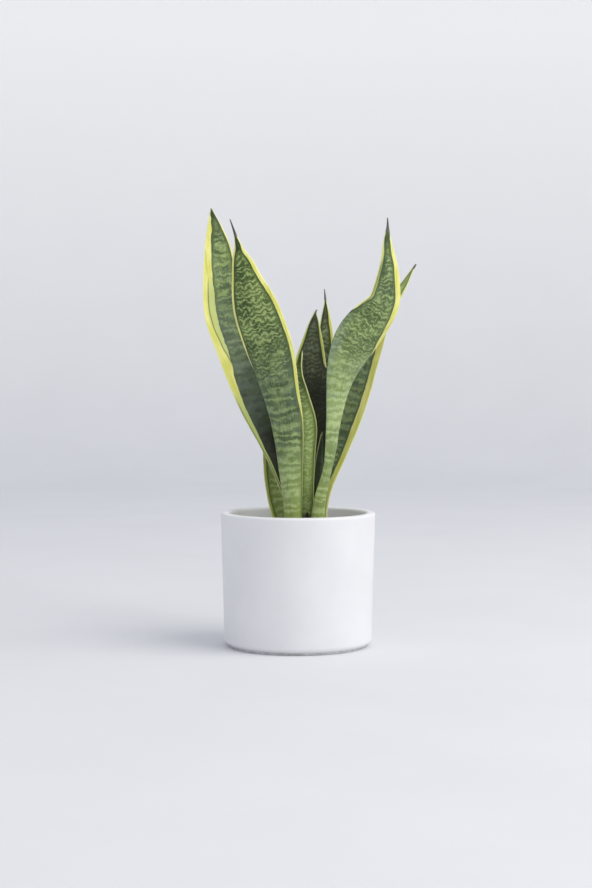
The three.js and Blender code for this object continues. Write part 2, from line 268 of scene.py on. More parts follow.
# Potting mix: near-black brown when moist, with paler dry crumbs and reddish fibres, very
# rough all over.
soil_mix, tree = new_material("moist_potting_mix")
coords = add_node(tree, "TexCoord").outputs["Object"]
grain = add_node(tree, "TexNoise", {
    "Vector": coords, "Scale": 1 / (1.6 * MM), "Detail": 6.0, "Roughness": 0.7
})
patch = add_node(tree, "TexNoise", {"Vector": coords, "Scale": 1 / (18 * MM), "Detail": 3.0})
dark = add_node(tree, "ValToRGB", [grain], stops=[
    (0.3, "#1F1711"), (0.5, "#3B2D22"), (0.68, "#5E4937"), (0.8, "#86694D")
])
dry = add_node(tree, "ValToRGB", [grain], stops=[
    (0.3, "#30241A"), (0.5, "#544233"), (0.68, "#7A614A"), (0.8, "#A3876A")
])
dry_share = add_node(tree, "MapRange", [patch, 0.45, 0.6])
earth = add_node(tree, "Mix RGBA", {0: dry_share, 6: dark, 7: dry})
crumb = add_node(tree, "TexVoronoi", {"Vector": coords, "Scale": 1 / (2.2 * MM)})
bump = add_node(
    tree, "Bump", {"Height": crumb.outputs["Distance"], "Distance": 0.5 * MM, "Strength": 0.7},
    invert=True,
)
fine_bump = add_node(
    tree, "Bump", {"Height": grain, "Distance": 0.4 * MM, "Strength": 0.8, "Normal": bump}
)
shader = add_node(tree, "BsdfPrincipled", {
    "Base Color": earth, "Normal": fine_bump, "Roughness": 0.92, "Specular IOR Level": 0.3
})
add_node(tree, "OutputMaterial", [shader])
place_piece("soil_bed", bm, soil_mix, ["soil"])


# ------------------------------------------------------------------------------------------
# Loose top dressing. Chopped pine bark, expanded perlite and soil crumbs that lie half sunk
# in the surface. They keep clear of the leaf feet and of the pot's wall.
BARK_CHIPS = 170
PERLITE_GRAINS = 150
CRUMBS = 900
BARK_REACH = 61
PERLITE_REACH = 62
CRUMB_REACH = 63
BARK_SIZES = (3.0, 8.5)
PERLITE_SIZES = (1.2, 3.4)
CRUMB_SIZES = (0.9, 3.6)
FEET = (
    (-5, -13, 11), (7, -5, 10), (1, 6, 11), (-18, 13, 10), (20, -12, 10),
    (18, 0, 6), (23, 8, 9), (13, 19, 9), (20, 27, 8), (9, -13, 5),
)


def scatter_places(count, reach, draw, closer=0.0):
    """Places in millimetres on the open soil, drawn one by one, clear of the leaf feet."""
    places = []
    while len(places) < count:
        angle = draw.uniform(0, 2 * math.pi)
        distance = reach * math.sqrt(draw.random())
        x, y = distance * math.cos(angle), distance * math.sin(angle)
        if all(math.hypot(x - fx, y - fy) > clear - closer for fx, fy, clear in FEET):
            places.append((x, y))
    return places


def scatter(bm, places, sizes, flatness, sink, draw):
    """Sets a rough lump of its own size and turn on the soil at each place."""
    for x, y in places:
        size = draw.uniform(*sizes)
        made = bmesh.ops.create_icosphere(bm, subdivisions=1, radius=0.5)
        stretch = Vector((size * draw.uniform(0.8, 1.5), size, size * flatness))
        turn = Vector((draw.uniform(-0.5, 0.5), draw.uniform(-0.5, 0.5), draw.uniform(0, 6.28)))
        seed = Vector((draw.uniform(0, 99), draw.uniform(0, 99), draw.uniform(0, 99)))
        for vert in made["verts"]:
            vert.co *= 1 + 0.45 * noise.noise(vert.co * 2.4 + seed)
        bmesh.ops.scale(bm, vec=stretch * MM, verts=made["verts"])
        bmesh.ops.rotate(bm, verts=made["verts"], matrix=Euler(turn).to_matrix())
        height = soil_height(x, y) + soil_relief(x, y) + size * flatness * sink
        bmesh.ops.translate(bm, vec=Vector((x, y, height)) * MM, verts=made["verts"])


draw = random.Random(41)
bm = bmesh.new()
scatter(bm, scatter_places(BARK_CHIPS, BARK_REACH, draw), BARK_SIZES, 0.36, 0.25, draw)

# Pine bark: red-brown flakes, dark in the cracks and grey-tan where weathered, dull.
bark, tree = new_material("chopped_pine_bark")
coords = add_node(tree, "TexCoord").outputs["Object"]
layer = add_node(tree, "Mapping", {0: coords, "Scale": (1, 1, 3.0)})
flake = add_node(tree, "TexNoise", {
    "Vector": layer, "Scale": 1 / (2.4 * MM), "Detail": 5.0, "Roughness": 0.65
})
bark_tone = add_node(tree, "ValToRGB", [flake], stops=[
    (0.3, "#3A2414"), (0.46, "#6B4729"), (0.58, "#946B45"), (0.75, "#B8946C")
])
bump = add_node(tree, "Bump", {"Height": flake, "Distance": 0.3 * MM, "Strength": 0.7})
shader = add_node(tree, "BsdfPrincipled", {
    "Base Color": bark_tone, "Normal": bump, "Roughness": 0.85
})
add_node(tree, "OutputMaterial", [shader])
place_piece("bark_chips", bm, bark)

bm = bmesh.new()
scatter(bm, scatter_places(PERLITE_GRAINS, PERLITE_REACH, draw), PERLITE_SIZES, 0.85, 0.2, draw)

# Perlite: popped volcanic glass, chalk white with a few earth stains, rough and light.
perlite, tree = new_material("expanded_perlite")
coords = add_node(tree, "TexCoord").outputs["Object"]
stain = add_node(tree, "TexNoise", {"Vector": coords, "Scale": 1 / (1.5 * MM), "Detail": 4.0})
chalk = add_node(
    tree, "ValToRGB", [stain], stops=[(0.35, "#A6967F"), (0.46, "#DAD3C6"), (0.6, "#F0EDE6")]
)
bump = add_node(tree, "Bump", {"Height": stain, "Distance": 0.25 * MM, "Strength": 0.6})
shader = add_node(tree, "BsdfPrincipled", {
    "Base Color": chalk, "Normal": bump, "Roughness": 0.88
})
add_node(tree, "OutputMaterial", [shader])
place_piece("perlite_grains", bm, perlite)

bm = bmesh.new()
scatter(bm, scatter_places(CRUMBS, CRUMB_REACH, draw, 3.0), CRUMB_SIZES, 0.8, 0.25, draw)
place_piece("soil_crumbs", bm, soil_mix)


# ------------------------------------------------------------------------------------------
# Leaves. Stiff, thick, upright blades that rise straight from the rhizome: lens-shaped in
# section, channelled at the foot, flat and broad above, ending in a dry round awl.
LEAF_FOOT = 97.3
THICKNESS_FOOT = 5.0
THICKNESS_MIDDLE = 3.0
THICKNESS_TIP = 1.8
AWL_TIP = 0.8
LEAF_RINGS = 170
LEAF_SIDES = 44
SMOOTHING = 40
BACK_MARGIN = 3.0
PEAK_HALF = 4.6
BAND_SPACING = 4.8
BROAD_SPACING = 8.5
BAND_DRIFT = 16.0
BROAD_DRIFT = 22.0
CUTICLE_IOR = 1.45
ATTRIBUTES = ("blade", "edges", "margins", "tinge_and_sheen", "tone_shade_and_bloom")
PROFILES = ("left", "right", "streak_and_edge_shade", "fade", "green", "pale_and_painted_shade", "broad", "bloom_and_reflection", "painted_sheen")

# Each leaf's rows are the CAD leaf's own: share of the height, X, Y, share of the width, turn
# in degrees and cup. The lists run up the leaf as (share of the height, value): the width of
# the yellow margins on the front face in millimetres, below zero where they are rolled back;
# the place of a green streak in the left margin and how strong it is, where low on the back
# left leaf it is a dark line at the very edge that paints the shade on the rolled edge; how
# green the margins are; how pale the face is, below zero where it is painted darker as painted
# shade for the shade that falls between and behind the other leaves; how broad its crossbands
# are; how much blue-grey lies on all of it, partly the wax's own bloom and partly a painted
# reflection of the pale room; and how much painted sheen lies along its left side. A list
# that is left out is zero all the way. The awl is the dry tip's length in millimetres.
LEAVES = [
    {
        "name": "leaf_front_left", "height": 298, "width": 47.5, "root": (-5, -11),
        "shape": [
            (0.05, -5, -13, 0.36, -10, 0.24), (0.2, -8, -17, 0.47, -10, 0.24),
            (0.34, -11, -22, 0.67, -12, 0.22), (0.44, -17, -26, 0.73, -12, 0.19),
            (0.55, -25, -31, 0.93, -13, 0.14), (0.63, -32.5, -35, 1.0, -14, 0.11),
            (0.71, -40.5, -38, 0.98, -14, 0.1), (0.79, -47.7, -41, 0.745, -14, 0.1),
            (0.85, -51.8, -42, 0.49, -12, 0.1), (0.89, -55.2, -42, 0.275, -10, 0.08),
            (0.925, -57.1, -42, 0.115, -10, 0.03), (0.955, -59.5, -41, 0.05, -10, 0),
            (1.0, -64.2, -40, 0.02, -10, 0),
        ],
        "awl": 17,
        "left": [
            (0.0, -3), (0.48, -3), (0.56, 1.2), (0.62, 2.4), (0.8, 2.6), (0.9, 2.2),
            (0.935, 0.6),
        ],
        "right": [
            (0.0, 0.5), (0.12, 1.0), (0.34, 1.5), (0.44, 3.4), (0.8, 4.2), (0.89, 3.4),
            (0.925, 0.8),
        ],
        "green": [(0.0, 1.0), (0.3, 0.9), (0.42, 0.25), (0.6, 0.0)],
        "pale_and_painted_shade": [
            (0.0, 1.0), (0.06, 0.95), (0.18, 0.6), (0.28, 0.2), (0.36, -0.2), (0.5, -0.25),
            (0.62, 0.0), (0.78, 0.1), (0.88, -0.15), (0.93, -0.5),
        ],
        "broad": [(0.0, 1.0), (0.42, 0.95), (0.56, 0.35), (0.66, 0.0)],
        "bloom_and_reflection": [(0.0, 0.0), (0.12, 0.2), (0.35, 0.4), (0.5, 0.35), (0.62, 0.1), (0.8, 0.0)],
        "painted_sheen": [(0.0, 0.0), (0.15, 0.5), (0.4, 0.6), (0.55, 0.0)],
    },
    {
        "name": "leaf_inner_left", "height": 175, "width": 27, "root": (6, -4),
        "shape": [
            (0.08, 7.2, -5, 0.54, -12, 0.18), (0.23, 6.8, -6, 0.6, -12, 0.18),
            (0.39, 5.8, -8, 0.74, -12, 0.17), (0.5, 5.3, -10, 0.89, -12, 0.15),
            (0.61, 3.9, -12, 1.0, -14, 0.13), (0.725, 1, -14, 0.8, -16, 0.1),
            (0.835, -1, -15, 0.5, -18, 0.08), (0.91, 0.5, -15, 0.26, -18, 0.04),
            (0.96, 2.9, -15, 0.12, -18, 0), (1.0, 4.3, -15, 0.035, -18, 0),
        ],
        "awl": 2,
        "left": [(0.0, -3)],
        "right": [(0.0, 0.4), (0.25, 0.9), (0.6, 1.3), (0.9, 0.9)],
        "green": [(0.0, 1.0), (0.5, 0.6), (0.9, 0.4)],
        "pale_and_painted_shade": [(0.0, -0.6), (0.04, -0.5), (0.1, 0.4), (0.3, 0.85), (0.6, 0.7), (0.9, 0.0)],
        "broad": [(0.0, 0.7), (0.3, 0.35), (0.6, 0.2)],
    },
    {
        "name": "leaf_back_left", "height": 315, "width": 51.5, "root": (-1, 6),
        "shape": [
            (0.04, 1, 6.5, 0.36, 12, -0.18), (0.155, -9.8, 10, 0.51, 17, -0.18),
            (0.235, -18.5, 13, 0.65, 20, -0.16), (0.32, -29.5, 16, 0.77, 20, -0.14),
            (0.41, -42.2, 20, 0.88, 20, -0.13), (0.505, -52.2, 23, 0.96, 20, -0.12),
            (0.64, -67.8, 28, 1.0, 20, -0.11), (0.7, -72.8, 30, 0.9, 20, -0.11),
            (0.745, -75.8, 31, 0.79, 20, -0.11), (0.81, -78.2, 33, 0.65, 20, -0.1),
            (0.87, -79.2, 35, 0.55, 20, -0.09), (0.915, -81.2, 36, 0.41, 20, -0.07),
            (0.955, -83.2, 37, 0.245, 20, -0.04), (0.98, -84.6, 38, 0.12, 20, 0),
            (1.0, -85.6, 38, 0.025, 20, 0),
        ],
        "awl": 1.5,
        "left": [
            (0.0, 1.5), (0.15, 2.6), (0.223, 3.6), (0.37, 6.4), (0.46, 9.0), (0.529, 12.5),
            (0.6, 14.5), (0.724, 14.0), (0.78, 11.0), (0.823, 8.6), (0.928, 5.4), (0.965, 2.6),
            (0.985, 0.6),
        ],
        "right": [(0.0, -3), (0.6, 1.2), (0.7, 2.0), (0.93, 1.4), (0.97, 0.6)],
        # Low on the leaf the streak lies at the very edge, as a dark line of painted shade.
        "streak_and_edge_shade": [
            (0.0, 0.9), (0.47, 0.9), (0.5, 12.5), (0.529, 12.0), (0.58, 9.2), (0.64, 7.4),
            (0.7, 6.6), (0.75, 6.2), (0.82, 6.0),
        ],
        "fade": [
            (0.0, 0.9), (0.38, 0.9), (0.46, 0.0), (0.5, 0.0), (0.55, 1.0), (0.74, 1.0),
            (0.8, 0.0),
        ],
        "green": [(0.0, 0.9), (0.3, 0.4), (0.5, 0.15), (0.7, 0.0)],
        "pale_and_painted_shade": [
            (0.0, -0.5), (0.1, -0.9), (0.26, -0.95), (0.4, -0.8), (0.5, -0.65), (0.6, -0.45),
            (0.7, -0.1), (0.8, 0.2), (0.88, 0.05), (0.93, -0.3), (0.98, -0.7),
        ],
        "broad": [(0.0, 0.9), (0.5, 0.9), (0.8, 0.7)],
        "bloom_and_reflection": [
            (0.0, 0.0), (0.25, 0.0), (0.4, 0.35), (0.52, 0.6), (0.66, 0.45), (0.8, 0.25),
            (1.0, 0.0),
        ],
    },
    {
        "name": "leaf_low_left", "height": 134, "width": 20, "root": (-16, 11),
        "shape": [
            (0.09, -19.6, 13, 0.74, 30, -0.12), (0.21, -23, 17, 0.87, 30, -0.12),
            (0.36, -25.7, 22, 0.98, 30, -0.12), (0.505, -26.6, 27, 1.0, 30, -0.12),
            (0.65, -27.7, 32, 0.92, 30, -0.1), (0.8, -28.8, 36, 0.68, 30, -0.08),
            (0.905, -29.8, 39, 0.4, 30, -0.04), (1.0, -29.8, 41, 0.05, 30, 0),
        ],
        "awl": 3,
        "left": [(0.0, 2.0), (0.3, 3.2), (0.7, 3.6), (0.95, 1.5)],
        "right": [(0.0, -3)],
        "green": [(0.0, 0.9), (0.4, 0.6)],
        "pale_and_painted_shade": [(0.0, 0.9), (0.3, 0.6), (0.7, 0.4), (1.0, 0.2)],
        "broad": [(0.0, 1.0)],
    },
    {
        "name": "leaf_front_right", "height": 300, "width": 51, "root": (21, -9),
        "shape": [
            (0.045, 20, -12, 0.294, 35, 0.2), (0.11, 22.7, -14, 0.285, 44, 0.2),
            (0.165, 27.4, -16, 0.277, 53, 0.2), (0.215, 30.7, -17, 0.285, 57, 0.2),
            (0.275, 34.3, -18, 0.339, 57, 0.2), (0.33, 36.2, -20, 0.384, 53, 0.2),
            (0.405, 39.1, -23, 0.482, 44, 0.18), (0.475, 42, -26, 0.598, 36, 0.16),
            (0.53, 46, -28, 0.741, 29, 0.14), (0.61, 57.2, -31, 1.0, 24, 0.12),
            (0.675, 71.2, -33, 0.905, 22, 0.11), (0.725, 83.6, -34, 0.655, 21, 0.1),
            (0.775, 85, -35, 0.545, 20, 0.1), (0.835, 86.8, -36, 0.416, 20, 0.09),
            (0.88, 85.9, -36, 0.282, 20, 0.07), (0.92, 84.6, -36, 0.188, 20, 0.04),
            (0.945, 84.5, -36, 0.12, 20, 0), (0.967, 85, -36, 0.053, 20, 0),
            (1.0, 84.7, -36, 0.018, 20, 0),
        ],
        "awl": 14,
        "left": [(0.0, -3), (0.64, -3), (0.68, 1.4), (0.74, 3.0), (0.88, 2.4), (0.94, 0.6)],
        "right": [
            (0.0, -0.6), (0.565, -0.6), (0.6, 1.8), (0.64, 5.0), (0.72, 7.2), (0.8, 6.6),
            (0.88, 4.6), (0.93, 1.8), (0.95, 0.5),
        ],
        "streak_and_edge_shade": [(0.0, 1.6)],
        "fade": [(0.0, 0.0), (0.66, 0.0), (0.72, 0.9), (0.84, 0.9), (0.9, 0.0)],
        "green": [(0.0, 0.8), (0.5, 0.2), (0.7, 0.0)],
        "pale_and_painted_shade": [
            (0.0, 0.7), (0.1, 0.65), (0.2, 0.5), (0.3, 0.5), (0.4, 0.7), (0.52, 0.45),
            (0.62, 0.2), (0.75, 0.1), (0.86, 0.0), (0.92, -0.4),
        ],
        "broad": [(0.0, 0.9), (0.3, 1.0), (0.48, 0.8), (0.58, 0.3), (0.8, 0.15)],
        "bloom_and_reflection": [
            (0.0, 0.0), (0.2, 0.2), (0.38, 0.4), (0.52, 0.4), (0.64, 0.15), (0.8, 0.3),
            (0.95, 0.2),
        ],
        "painted_sheen": [(0.0, 0.0), (0.3, 0.3), (0.45, 0.9), (0.6, 1.0), (0.68, 0.3), (0.8, 0.1)],
    },
    {
        "name": "leaf_young", "height": 96, "width": 9.5, "root": (18, 0.5),
        "shape": [
            (0.19, 19, 0.5, 0.84, 15, 0.1), (0.41, 19.4, 0.5, 0.96, 15, 0.1),
            (0.61, 20.4, 0.5, 0.95, 15, 0.08), (0.815, 21.8, 0.5, 0.63, 15, 0.04),
            (1.0, 23.3, 0.5, 0.11, 15, 0),
        ],
        "awl": 2,
        "left": [(0.0, 0.4), (0.3, 0.9), (0.9, 0.5)],
        "right": [(0.0, -3)],
        "green": [(0.0, 0.8)],
        "pale_and_painted_shade": [(0.0, -0.3), (0.5, -0.8), (1.0, -0.8)],
        "broad": [(0.0, 0.6)],
        "bloom_and_reflection": [(0.0, 0.1)],
    },
    {
        "name": "leaf_back_right", "height": 260.5, "width": 38.5, "root": (23.5, 8),
        "shape": [
            (0.05, 22.8, 8.5, 0.35, -28, -0.12), (0.15, 26.2, 11, 0.41, -28, -0.13),
            (0.265, 38.5, 15, 0.55, -30, -0.13), (0.375, 48.3, 20, 0.75, -31, -0.13),
            (0.49, 56.2, 25, 0.93, -31, -0.13), (0.6, 63.1, 30, 1.0, -31, -0.12),
            (0.71, 72.4, 35, 0.9, -31, -0.12), (0.79, 82.2, 38, 0.68, -31, -0.11),
            (0.865, 95.6, 41, 0.37, -31, -0.08), (0.915, 104.2, 42, 0.24, -31, -0.04),
            (0.955, 110, 43, 0.13, -31, 0), (1.0, 117, 43, 0.035, -31, 0),
        ],
        "awl": 5,
        "left": [(0.0, -3), (0.7, -3), (0.8, 1.6), (0.9, 0.8)],
        "right": [
            (0.0, 3.0), (0.2, 6.0), (0.4, 9.0), (0.7, 8.6), (0.8, 5.0), (0.88, 1.8), (0.95, 0.5),
        ],
        "green": [(0.0, 0.9), (0.3, 0.3), (0.5, 0.0)],
        "pale_and_painted_shade": [(0.0, 0.0), (0.2, -0.3), (0.5, -0.35), (0.7, -0.1), (0.82, 0.7), (0.95, 0.9)],
        "broad": [(0.0, 1.0), (0.6, 0.8)],
        "bloom_and_reflection": [(0.0, 0.1), (0.3, 0.35), (0.7, 0.45), (0.85, 0.2)],
    },
    {
        "name": "leaf_centre", "height": 215.5, "width": 34.3, "root": (12, 18),
        "shape": [
            (0.08, 14.3, 19, 0.41, -10, -0.12), (0.225, 16.6, 22, 0.5, -10, -0.12),
            (0.36, 16.4, 26, 0.62, -10, -0.12), (0.475, 14.6, 29, 0.79, -10, -0.12),
            (0.59, 12.7, 31, 0.93, -10, -0.11), (0.68, 12.2, 33, 1.0, -10, -0.11),
            (0.77, 13, 35, 0.88, -10, -0.1), (0.84, 14.4, 36, 0.67, -10, -0.08),
            (0.905, 15.3, 37, 0.44, -10, -0.05), (0.96, 16.7, 38, 0.22, -10, 0),
            (0.982, 17.2, 38, 0.09, -10, 0), (1.0, 18.7, 38, 0.03, -10, 0),
        ],
        "awl": 3,
        "left": [(0.0, -3), (0.5, 0.4), (0.85, 2.2), (0.95, 1.0)],
        "right": [(0.0, -3), (0.7, -3), (0.76, 2.4), (0.85, 2.6), (0.95, 1.0)],
        "green": [(0.0, 0.8)],
        "pale_and_painted_shade": [(0.0, -0.3), (0.3, -0.8), (0.6, -0.7), (0.78, 0.0), (0.9, 0.25), (1.0, 0.0)],
        "broad": [(0.0, 0.5), (0.7, 0.2)],
        "bloom_and_reflection": [(0.0, 0.0), (0.7, 0.15), (0.9, 0.25)],
    },
    {
        "name": "leaf_centre_back", "height": 236.5, "width": 24.5, "root": (19, 26),
        "shape": [
            (0.07, 20.5, 27, 0.5, -10, -0.1), (0.245, 23.7, 31, 0.62, -10, -0.11),
            (0.415, 25.7, 37, 0.83, -10, -0.11), (0.58, 26.9, 43, 1.0, -10, -0.11),
            (0.725, 26.9, 49, 0.83, -10, -0.09), (0.81, 28, 52, 0.62, -10, -0.06),
            (0.87, 28, 55, 0.44, -10, -0.03), (0.91, 27.8, 56, 0.27, -10, 0),
            (0.94, 27.7, 57, 0.12, -10, 0), (1.0, 26.6, 59, 0.035, -10, 0),
        ],
        "awl": 11,
        "left": [(0.0, 0.5), (0.5, 1.2), (0.9, 0.8)],
        "right": [(0.0, 1.0), (0.5, 3.4), (0.85, 2.8), (0.94, 0.6)],
        "green": [(0.0, 0.6), (0.9, 0.3)],
        "pale_and_painted_shade": [(0.0, 0.2), (0.5, 0.3), (0.8, 0.5), (1.0, 0.2)],
        "broad": [(0.0, 0.6), (0.8, 0.4)],
    },
]


def spline(points, t):
    """A point of the centripetal curve through the points, at a share of its run."""
    last = len(points) - 1
    k = min(int(last * t), last - 1)
    weight = last * t - k
    p1, p2 = points[k], points[k + 1]
    p0 = points[k - 1] if k > 0 else p1 * 2 - p2
    p3 = points[k + 2] if k + 2 <= last else p2 * 2 - p1
    middle = (p2 - p1).length ** 0.5 or 1.0
    before = (p1 - p0).length ** 0.5 or middle
    after = (p3 - p2).length ** 0.5 or middle
    start = ((p1 - p0) / before - (p2 - p0) / (before + middle)) * middle + (p2 - p1)
    stop = ((p3 - p2) / after - (p3 - p1) / (middle + after)) * middle + (p2 - p1)
    curve = (p2 - p1) * 3 - start * 2 - stop
    twist = (p1 - p2) * 2 + start + stop
    return p1 + (start + (curve + twist * weight) * weight) * weight


def ease(value, low, high):
    """0 below low, 1 above high and a soft step in between."""
    value = min(max((value - low) / (high - low), 0.0), 1.0)
    return value * value * (3 - 2 * value)


def along_profile(profile, share):
    """Value of a list of (share of the height, value) at a share, eased in between."""
    if share <= profile[0][0]:
        return profile[0][1]
    for (low, first), (high, second) in zip(profile, profile[1:]):
        if share <= high:
            return first + (second - first) * ease(share, low, high)
    return profile[-1][1]


def leaf_thickness(share, width):
    """Thickness in millimetres at a share of the leaf's height."""
    lower = THICKNESS_FOOT + (THICKNESS_MIDDLE - THICKNESS_FOOT) * ease(share, 0, 0.35)
    full = lower + (THICKNESS_TIP - THICKNESS_MIDDLE) * ease(share, 0.35, 1)
    return min(full, width * 0.9)


def smoothed(values, passes):
    """The list with each inner value drawn towards its neighbours."""
    for _ in range(passes):
        inner = [(a + b * 2 + c) / 4 for a, b, c in zip(values, values[1:], values[2:])]
        values = [values[0]] + inner + [values[-1]]
    return values


def ring_tube(bm, sides, rings):
    """A closed unit tube along Z with that many rings. Returns each vertex's ring and angle."""
    bmesh.ops.create_cone(
        bm, cap_ends=True, cap_tris=False, segments=sides, radius1=1, radius2=1, depth=1
    )
    upright = [e for e in bm.edges if abs(e.verts[0].co.z - e.verts[1].co.z) > 0.5]
    bmesh.ops.subdivide_edges(bm, edges=upright, cuts=rings - 1, use_grid_fill=True)
    return {v: (round((v.co.z + 0.5) * rings), math.atan2(v.co.y, v.co.x)) for v in bm.verts}


def build_leaf(leaf, seed):
    """Shapes a blade from its rows, and gives its faces the places that its pattern follows."""
    rows = leaf["shape"]
    width_of = leaf["width"]
    centres = [Vector((*leaf["root"], LEAF_FOOT))]
    centres += [Vector((x, y, SOIL_LEVEL + share * leaf["height"])) for share, x, y, *_ in rows]
    first = Vector(rows[0][3:6])
    sizes = [first] + [Vector(row[3:6]) for row in rows]
    steps = [i / LEAF_RINGS for i in range(LEAF_RINGS + 1)]
    middle = smoothed([spline(centres, t) for t in steps], SMOOTHING)
    size = smoothed([spline(sizes, t) for t in steps], SMOOTHING)
    length = [0.0]
    for a, b in zip(middle, middle[1:]):
        length.append(length[-1] + (b - a).length)
    at_soil = min(length, key=lambda s: abs(middle[length.index(s)].z - SOIL_LEVEL))

    bm = bmesh.new()
    blade, edges, margins, tinge_and_sheen, tone_shade_and_bloom = [
        bm.verts.layers.float_vector.new(name) for name in ATTRIBUTES
    ]
    for vert, (i, angle) in ring_tube(bm, LEAF_SIDES, LEAF_RINGS).items():
        centre = middle[i]
        run = (middle[min(i + 1, LEAF_RINGS)] - middle[max(i - 1, 0)]).normalized()
        turn = math.radians(size[i].y)
        across = Vector((math.cos(turn), math.sin(turn), 0))
        across = (across - run * across.dot(run)).normalized()
        back = run.cross(across)
        share = (centre.z - SOIL_LEVEL) / leaf["height"]
        width = max(size[i].x * width_of, AWL_TIP)
        thickness = leaf_thickness(share, width)
        u = math.cos(angle)
        bend = 2 * math.atan(2 * abs(size[i].z)) + 1e-4
        sense = math.copysign(1, size[i].z)
        bow = width / 2 / math.sin(bend)
        place = centre + across * bow * math.sin(bend * u)
        place += back * sense * bow * (1 - math.cos(bend * u))
        face = back * math.cos(bend * u) - across * sense * math.sin(bend * u)
        along = length[i] - at_soil
        broad = min(width / 20, 1.0)
        sway = noise.noise(Vector((u * 0.9, along / 34, seed * 7.3))) * 0.7
        flute = noise.noise(Vector((u * 5.5, along / 70, seed * 3.1))) * 0.16
        place += face * (thickness / 2 * math.sin(angle) + (sway + flute) * broad)
        vert.co = place * MM
        arm = bow * bend
        vert[blade] = (u * arm, along, seed * 40.0)
        vert[edges] = ((1 + u) * arm, (1 - u) * arm, length[-1] - length[i] - leaf["awl"])
        at_here = {k: along_profile(leaf.get(k, [(0, 0.0)]), share) for k in PROFILES}
        if math.sin(angle) > 0.1:
            at_here["left"] = max(at_here["left"], BACK_MARGIN * min(width / 20, 1))
            at_here["right"] = max(at_here["right"], BACK_MARGIN * min(width / 20, 1))
        vert[margins] = (at_here["left"], at_here["right"], at_here["streak_and_edge_shade"])
        vert[tinge_and_sheen] = (at_here["fade"], at_here["green"], at_here["painted_sheen"])
        vert[tone_shade_and_bloom] = (at_here["pale_and_painted_shade"], at_here["broad"], at_here["bloom_and_reflection"])
    bmesh.ops.recalc_face_normals(bm, faces=bm.faces)
    return bm


